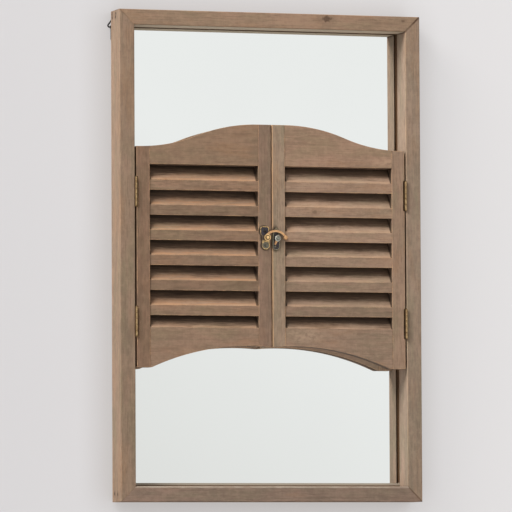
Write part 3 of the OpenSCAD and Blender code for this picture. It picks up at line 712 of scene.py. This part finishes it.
def floor_material():
    """A dim floor that sends little light up and looks pale from above; from below it's clear."""
    material, tree, shader, place = start_material("floor_paint")
    path = add(tree, "ShaderNodeLightPath").outputs
    seen = math_node(tree, "MAXIMUM", path["Is Camera Ray"], path["Is Glossy Ray"])
    mottle = spread(tree, noise(tree, place, 2.0, 2.0), 0.3, 0.7)
    set_inputs(tree, shader, Roughness=0.9,
               Base_Color=blend(tree, mottle, srgb(148, 142, 136), srgb(156, 150, 144)))
    lit = add(tree, "ShaderNodeEmission", {"Color": srgb(222, 221, 220), "Strength": 1.0})
    shown = mix_shader(tree, seen, shader.outputs[0], lit.outputs[0])
    clear = add(tree, "ShaderNodeBsdfTransparent").outputs[0]
    below = add(tree, "ShaderNodeNewGeometry").outputs["Backfacing"]
    show(tree, mix_shader(tree, times(tree, below, path["Is Camera Ray"]), shown, clear))
    return material


def build_stage():
    left, right, front, top = -6, 6, -8, 5
    back, low = BACKDROP_AT, FLOOR_AT
    stage_plane("wall", [(left, back, low), (right, back, low), (right, back, top),
                         (left, back, top)], backdrop_material())
    stage_plane("floor", [(left, front, low), (right, front, low), (right, back, low),
                          (left, back, low)], floor_material())


def new_lamp(name, shape, size, power, place):
    """An area lamp that metal and glass don't show."""
    data = bpy.data.lights.new(name, "AREA")
    data.shape = shape
    data.size = size
    data.energy = power
    lamp = bpy.data.objects.new(name, data)
    lamp.location = place
    lamp.visible_glossy = False
    bpy.context.collection.objects.link(lamp)
    return lamp


def round_lamp(name, place, power, colour):
    lamp = new_lamp(name, "DISK", 3.0, power, place)
    lamp.data.color = colour
    lamp.rotation_euler = (Vector(MIDDLE) - Vector(place)).to_track_quat("-Z", "Y").to_euler()


def mirror_return():
    """What the mirror sends back onto the frame's inner sides and the backs of the leaves."""
    low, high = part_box("mirror_glass")
    inset = 0.02
    in_front = (0.0, low.y - 0.0006, (low.z + high.z) / 2)
    lamp = new_lamp("mirror_return", "RECTANGLE", high.x - low.x - inset, 0.65, in_front)
    lamp.data.size_y = high.z - low.z - inset
    lamp.rotation_euler = (-math.pi / 2, 0.0, 0.0)
    lamp.visible_camera = lamp.visible_transmission = False


def light_room():
    """Soft light from all round, brighter from the left; to the eye and in glass it's pale."""
    world = bpy.data.worlds.new("room")
    bpy.context.scene.world = world
    world.use_nodes = True
    tree = world.node_tree
    tree.nodes.clear()
    path = add(tree, "ShaderNodeLightPath").outputs
    shown = math_node(tree, "MAXIMUM", path["Is Camera Ray"], path["Is Glossy Ray"])
    shown = math_node(tree, "MAXIMUM", shown, path["Is Transmission Ray"])
    toward = axes(tree, add(tree, "ShaderNodeTexCoord").outputs["Generated"])
    sky = blend(tree, spread(tree, toward[2], -0.35, 0.5), (0.20, 0.19, 0.18, 1.0),
                (0.33, 0.335, 0.345, 1.0))
    side = spread(tree, toward[0], 0.6, -0.9, 0.5, 1.9)
    rear = spread(tree, toward[1], 0.0, 0.1, 1.0, 4.5)     # only the backdrop's far side gets it
    soft = add(tree, "ShaderNodeBackground", {"Color": sky, "Strength": times(tree, side, rear)})
    pale = add(tree, "ShaderNodeBackground", {"Color": srgb(239, 240, 239),
                                              "Strength": 1.0 / REFLECTS})
    mixed = mix_shader(tree, shown, soft.outputs[0], pale.outputs[0])
    add(tree, "ShaderNodeOutputWorld", {0: mixed})


def build_light():
    round_lamp("window", (-3.9, -1.98, 3.57), 525.0, (0.985, 1.0, 1.0))
    round_lamp("room", (2.2, -4.6, 0.5), 50.0, (1.0, 0.985, 0.96))
    mirror_return()
    light_room()


# ---------- mirror ----------


def keep(shape, name, material, body, slot, *stands_for):
    """Turns a finished bmesh into a piece in its place, riding on its body."""
    mesh = bpy.data.meshes.new(name)
    shape.to_mesh(mesh)
    shape.free()
    mesh.materials.append(material)
    item = bpy.data.objects.new(name, mesh)
    bpy.context.collection.objects.link(item)
    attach(item, body)
    if stands_for:
        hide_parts(*stands_for)


def build_silvering(low, high):
    """The mirror layer: a tenth of a millimetre thick, inside the whole back of the glass."""
    low = Vector((low.x, high.y - 0.0001, low.z))
    shape = bmesh.new()
    made = bmesh.ops.create_cube(shape, size=1.0)["verts"]
    bmesh.ops.scale(shape, verts=made, vec=high - low)
    bmesh.ops.translate(shape, verts=made, vec=(low + high) / 2)
    keep(shape, "silvering", silver_material(), "frame", "mirror", "mirror_glass")


def build_gap_shade_paint(low, high):
    """Painted shade on the glass's front: a dark ring from its edge to just inside the frame's
    lip.
    """
    side, top, foot = 0.0028, 0.0008, 0.0062
    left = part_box("frame_stile_left")[1].x + side
    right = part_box("frame_stile_right")[0].x - side
    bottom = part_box("frame_rail_bottom")[1].z + foot
    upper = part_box("frame_rail_top")[0].z - top
    ring = bmesh.new()
    outer, inner = ([ring.verts.new((x, low.y + 0.0002, z)) for x, z in corners] for corners in (
        ((low.x, low.z), (high.x, low.z), (high.x, high.z), (low.x, high.z)),
        ((left, bottom), (right, bottom), (right, upper), (left, upper))))
    edges = [ring.edges.new((loop[i], loop[(i + 1) % 4])) for loop in (outer, inner)
             for i in range(4)]
    bmesh.ops.bridge_loops(ring, edges=edges)
    bmesh.ops.solidify(ring, geom=ring.faces[:], thickness=0.0001)
    bmesh.ops.recalc_face_normals(ring, faces=ring.faces[:])
    # solidify leaves the rim's faces in another order each run, so they are put in a settled one
    slant = Vector((1.0, 50.0, 3.0))
    ring.faces.sort(key=lambda face: face.calc_center_median().dot(slant))
    keep(ring, "glass_gap_shade_paint", gap_shade_paint(), "frame", "black_steel")


# ---------- the frame's boards ----------


def mitre(x, z, width, strength):
    """The crack along the mitre that runs to the frame's corner at x and z."""
    lean = 1.0 if (x < 0) == (z > 0) else -1.0
    return ((HALF, 0.0, lean * HALF), (x + lean * z) * HALF, width, strength, CRACK)


TOP_LEFT = mitre(-OUTSIDE, TOP, 0.0011, 0.35)
TOP_RIGHT = mitre(OUTSIDE, TOP, 0.0020, 0.95)
FOOT_LEFT = mitre(-OUTSIDE, FOOT, 0.0011, 0.35)
FOOT_RIGHT = mitre(OUTSIDE, FOOT, 0.0016, 0.7)
STILE_ARRIS = ((-HALF, -HALF, 0.0), (-LIP_SIDE - FLUSH - 0.0006) * HALF, 0.0015, 0.12, ARRIS)
# the pale line on the bottom rail's inner arris: rubbed wood and a painted highlight for its lit
# top
RAIL_ARRIS = ((0.0, -HALF, HALF), (LIP_FOOT - FLUSH) * HALF, 0.0019, 0.8, RUBBED_AND_LIT_EDGE)
TOP_KNOTS = [((0.0971, FLUSH, 0.0050), 0.012, 0.85), ((0.2294, FLUSH, 0.0050), 0.0045, 0.6)]
NAILS = ((-0.0265, 0.0075), (-0.0070, 0.0075), (-0.0265, 0.0010), (-0.0070, 0.0010),
         (-0.0300, -0.7750), (-0.0125, -0.7740))     # y and z on a stile's outer side


def nail_stains(x):
    """The dark rings that the corner nails leave in a stile's outer side."""
    return [((x, y, z), 0.007, 1.0) for y, z in NAILS]


def stain_frame():
    return {
        "frame_stile_left": wood(
            "stile_left_wood", True, 1.3, srgb(139, 117, 98), knots=nail_stains(-OUTSIDE),
            bare=0.25, joints=[TOP_LEFT, FOOT_LEFT]),
        "frame_stile_right": wood(
            "stile_right_wood", True, 2.9, srgb(145, 125, 107), knots=nail_stains(OUTSIDE),
            bare=0.4, joints=[TOP_RIGHT, FOOT_RIGHT, STILE_ARRIS]),
        # the top rail's underside gets painted light
        "frame_rail_top": wood(
            "rail_top_wood", False, 4.1, srgb(146, 121, 100), knots=TOP_KNOTS, bare=0.3,
            joints=[TOP_LEFT, TOP_RIGHT], under=(-0.0495, -0.046, 0.62, UNDERSIDE_LIGHT)),
        "frame_rail_bottom": wood(
            "rail_bottom_wood", False, 5.7, srgb(135, 114, 99), bare=0.4,
            joints=[FOOT_LEFT, FOOT_RIGHT, RAIL_ARRIS])}


# ---------- the leaves' boards ----------

STAINS = {
    "left": {"hinge_stile": (129, 103, 84), "meeting_stile": (133, 109, 92),
             "top_rail": (138, 113, 92), "bottom_rail": (144, 118, 98), "slat": (135, 110, 90)},
    "right": {"hinge_stile": (148, 123, 103), "meeting_stile": (148, 127, 107),
              "top_rail": (152, 124, 103), "bottom_rail": (145, 121, 102),
              "slat": (149, 124, 104)}}
SLAT_TONES = {"left": (1.02, 0.97, 1.01, 1.00, 0.95, 1.04),
              "right": (1.01, 1.02, 1.05, 1.00, 0.97, 0.92)}
SLAT_CONTRAST = {"left_slat_1": 1.7, "left_slat_2": 1.3}
SLAT_KNOTS = {"left_slat_1": [((-0.180, SLAT_FRONT, -0.2635), 0.005, 0.9)],
              "right_slat_2": [((0.0748, SLAT_FRONT, -0.3131), 0.006, 0.4)]}
# how much each leaf's louvre crests are rubbed pale and given a painted highlight, to what colour,
# and how black their painted shade is deep inside
SLOPE_WEAR_LIGHT_SHADE = {"left": (0.5, srgb(188, 136, 98), 0.65), "right": (0.32, srgb(170, 140, 114), 0.45)}
# dark ovals round the latch plates: grime, and painted shadow from the plates
LATCH_DIRT_AND_SHADOW = {"left_meeting_stile": [((-0.0136, FLUSH, -0.3457), 0.0083, 1.0),
                                     ((-0.0117, FLUSH, -0.3691), 0.0074, 1.0),
                                     ((-0.0120, FLUSH, -0.3570), 0.0068, 1.2)],
              "right_meeting_stile": [((0.0060, FLUSH, -0.3580), 0.0064, 2.8)]}
PALE = {"right_bottom_rail": [((0.0560, FLUSH, -0.5160), 0.006, 0.40, 0.034)],
        "right_top_rail": [((0.1965, FLUSH, -0.2290), 0.005, 0.45, 0.020)]}
X_AXIS = (1.0, 0.0, 0.0)
# where the leaves meet: an open joint on the left, and on the right a rubbed edge with a painted
# highlight for its lit side
MEETING_EDGE = {"left": (X_AXIS, -0.0013, 0.0014, 0.7, CRACK),
                "right": (X_AXIS, 0.0014, 0.0014, 0.8, BARE_AND_HIGHLIGHT)}


def stain_stile(side, piece, seed):
    name = f"{side}_{piece}"
    meeting = piece == "meeting_stile"
    return wood(f"{name}_wood", True, seed, srgb(*STAINS[side][piece]),
                joints=[MEETING_EDGE[side]] if meeting else [],
                dark_ovals=LATCH_DIRT_AND_SHADOW.get(name, ()),
                pocket=-1.0 if meeting == (side == "left") else 1.0)


def stain_rail(side, piece, seed):
    name = f"{side}_{piece}"
    left = side == "left"       # picks the corner of a stile's box that meets the rail
    seams = [(X_AXIS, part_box(f"{side}_hinge_stile")[left].x, 0.0012, 0.6, CRACK),
             (X_AXIS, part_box(f"{side}_meeting_stile")[not left].x, 0.0012, 0.7, CRACK)]
    sloped = {}
    if piece == "bottom_rail":
        # painted shade under the leaf's bottom rail and deep in its slope, with a painted
        # highlight near its crest
        sloped = {"under": (-0.046, -0.039, 0.8, SHADE_AND_DIRT), "louvre": RAIL_CREST,
                  "worn": SLOPE_WEAR_LIGHT_SHADE[side], "sunk": 0.0055}
    return wood(f"{name}_wood", False, seed, srgb(*STAINS[side][piece]), contrast=0.8,
                joints=seams, pale=PALE.get(name, ()), **sloped)


def stain_slat(side, number, seed):
    name = f"{side}_slat_{number}"
    tone = SLAT_TONES[side][number - 1]
    return wood(f"{name}_wood", False, seed, srgb(*[c * tone for c in STAINS[side]["slat"]]),
                contrast=SLAT_CONTRAST.get(name, 1.0), knots=SLAT_KNOTS.get(name, ()),
                bare=1.1, louvre=SLAT_CREST, worn=SLOPE_WEAR_LIGHT_SHADE[side])


def stain_leaf(side, offset):
    """A leaf's ten boards, each cut from its own place in the log."""
    boards = {}
    pieces = (("hinge_stile", stain_stile), ("meeting_stile", stain_stile),
              ("top_rail", stain_rail), ("bottom_rail", stain_rail))
    for j, (piece, stain) in enumerate(pieces):
        boards[f"{side}_{piece}"] = stain(side, piece, 6.2 + 2.1 * j + offset)
    for number in range(1, 7):
        boards[f"{side}_slat_{number}"] = stain_slat(side, number, 16.0 + 6 * offset + number)
    return boards


# ---------- put it together ----------


def finish_node(name, material):
    for socket in nodes[name].material_slots:
        socket.material = material


place_camera()
build_stage()
build_light()
build_silvering(*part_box("mirror_glass"))
build_gap_shade_paint(*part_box("mirror_glass"))

for name, material in {**stain_frame(), **stain_leaf("left", 0),
                       **stain_leaf("right", 1)}.items():
    finish_node(name, material)

finishes = {
    "brass": brass_hinge(),
    "antique_brass": metal("screw_brass", srgb(150, 146, 126), srgb(58, 52, 52), 0.42,
                           clean=0.7, dark_above=-0.357),
    "black_steel": metal("black_steel", srgb(26, 24, 25), srgb(12, 11, 12), 0.65, plated=0.0),
    "steel": metal("bright_steel", srgb(205, 208, 208), srgb(150, 152, 152), 0.3),
    "backing_board": board_material()}
for part in frame["record"]["subparts"]:
    if part["material_slot"] in finishes:
        finish_node(part["node"], finishes[part["material_slot"]])

copper = hook_copper()
own_finishes = {
    "latch_plate": stamped_plate("latch_plate_brass", srgb(45, 41, 46), srgb(96, 92, 78),
                                 srgb(222, 184, 124), neck=NECK),
    "keeper_plate": stamped_plate("keeper_plate_brass", srgb(46, 42, 42), srgb(50, 44, 54),
                                  srgb(156, 146, 116)),
    "latch_hook": copper,
    "pivot_rivet": copper,
    "keeper_tongue": metal("tongue_copper", COPPER, DULL_COPPER, 0.34, clean=0.9),
    "keeper_stud": stud_nickel()}
for name, material in own_finishes.items():
    finish_node(name, material)

bpy.context.scene.view_settings.view_transform = "Standard"
